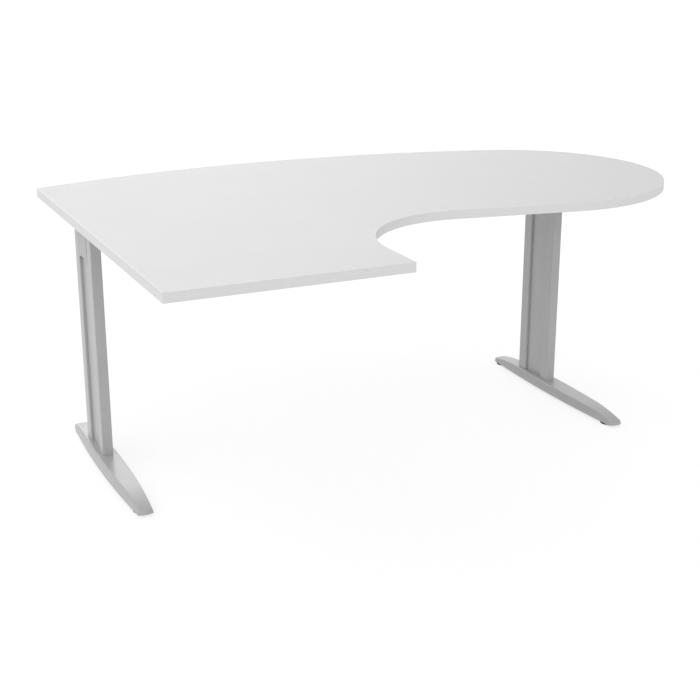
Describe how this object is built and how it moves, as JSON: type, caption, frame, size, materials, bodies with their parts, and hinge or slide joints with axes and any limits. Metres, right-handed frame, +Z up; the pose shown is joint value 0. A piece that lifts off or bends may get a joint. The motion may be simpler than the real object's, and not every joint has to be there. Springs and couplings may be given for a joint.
{
  "type": "office desk",
  "caption": "Flat office desk with a bowed back edge, a deep working side, a rounded meeting end and a sitting recess, on slim post legs with long arched feet and levelling glides.",
  "frame": {"origin": "on the floor, below the middle of the whole desk's outline", "axes": "+X along the desk to the round end, +Y to the bowed back edge, +Z up"},
  "size_m": [1.7999, 1.32, 0.74],
  "materials": {
    "melamine_board": "light grey melamine on chipboard, matt",
    "edge_band": "light grey edging strip, satin",
    "steel_silver": "silver powder coat, satin",
    "foot_cast": "silver powder coat on a casting, satin",
    "plastic_silver": "silver-grey moulding, satin",
    "plastic_black": "black moulding, matt",
    "steel_zinc": "zinc-plated steel"
  },
  "bodies": {
    "desk_frame": {"desktop_board": "melamine_board", "desktop_side_band": "edge_band", "desktop_front_band": "edge_band", "desktop_contour_band": "edge_band", "rear_crossbeam": "steel_silver", "front_crossbeam": "steel_silver", "crossbeam_end_plates": "steel_silver", "crossbeam_bolts": "steel_zinc", "crossbeam_weld_nuts": "steel_zinc", "crossbeam_screws": "steel_zinc", "left_foot": "foot_cast", "left_rear_post": "steel_silver", "left_front_post": "steel_silver", "left_web_panel": "steel_silver", "left_head_bracket": "steel_silver", "left_outer_head_cover": "plastic_silver", "left_inner_head_cover": "plastic_silver", "left_support_arm": "steel_silver", "left_arm_end_caps": "plastic_black", "left_arm_screws": "steel_zinc", "left_post_nut_plates": "steel_zinc", "left_post_bolts": "steel_zinc", "left_glide_inserts": "steel_zinc", "right_foot": "foot_cast", "right_rear_post": "steel_silver", "right_front_post": "steel_silver", "right_web_panel": "steel_silver", "right_head_bracket": "steel_silver", "right_outer_head_cover": "plastic_silver", "right_inner_head_cover": "plastic_silver", "right_support_arm": "steel_silver", "right_arm_end_caps": "plastic_black", "right_arm_screws": "steel_zinc", "right_post_nut_plates": "steel_zinc", "right_post_bolts": "steel_zinc", "right_glide_inserts": "steel_zinc"},
    "left_rear_pad": {"left_rear_glide_pad": "plastic_black"},
    "left_rear_stud": {"left_rear_glide_stud": "steel_zinc"},
    "left_front_pad": {"left_front_glide_pad": "plastic_black"},
    "left_front_stud": {"left_front_glide_stud": "steel_zinc"},
    "right_rear_pad": {"right_rear_glide_pad": "plastic_black"},
    "right_rear_stud": {"right_rear_glide_stud": "steel_zinc"},
    "right_front_pad": {"right_front_glide_pad": "plastic_black"},
    "right_front_stud": {"right_front_glide_stud": "steel_zinc"}
  },
  "joints": [
    {"name": "left_rear_level", "type": "slide", "parent": "desk_frame", "child": "left_rear_pad", "axis": [0, 0, -1], "range_m": [0, 0.007]},
    {"name": "left_rear_screw", "type": "hinge", "parent": "left_rear_pad", "child": "left_rear_stud", "pos_m": [-0.827, 0.477, 0.012], "axis": [0, 0, -1], "range_deg": [0, 2020]},
    {"name": "left_front_level", "type": "slide", "parent": "desk_frame", "child": "left_front_pad", "axis": [0, 0, -1], "range_m": [0, 0.007]},
    {"name": "left_front_screw", "type": "hinge", "parent": "left_front_pad", "child": "left_front_stud", "pos_m": [-0.827, -0.136, 0.012], "axis": [0, 0, -1], "range_deg": [0, 2020]},
    {"name": "right_rear_level", "type": "slide", "parent": "desk_frame", "child": "right_rear_pad", "axis": [0, 0, -1], "range_m": [0, 0.007]},
    {"name": "right_rear_screw", "type": "hinge", "parent": "right_rear_pad", "child": "right_rear_stud", "pos_m": [0.654, 0.477, 0.012], "axis": [0, 0, -1], "range_deg": [0, 2020]},
    {"name": "right_front_level", "type": "slide", "parent": "desk_frame", "child": "right_front_pad", "axis": [0, 0, -1], "range_m": [0, 0.007]},
    {"name": "right_front_screw", "type": "hinge", "parent": "right_front_pad", "child": "right_front_stud", "pos_m": [0.654, -0.136, 0.012], "axis": [0, 0, -1], "range_deg": [0, 2020]}
  ],
  "couplings": [
    {"joint": "left_rear_screw", "follows": "left_rear_level", "rad_per_m": 5026.5},
    {"joint": "left_front_screw", "follows": "left_front_level", "rad_per_m": 5026.5},
    {"joint": "right_rear_screw", "follows": "right_rear_level", "rad_per_m": 5026.5},
    {"joint": "right_front_screw", "follows": "right_front_level", "rad_per_m": 5026.5}
  ]
}
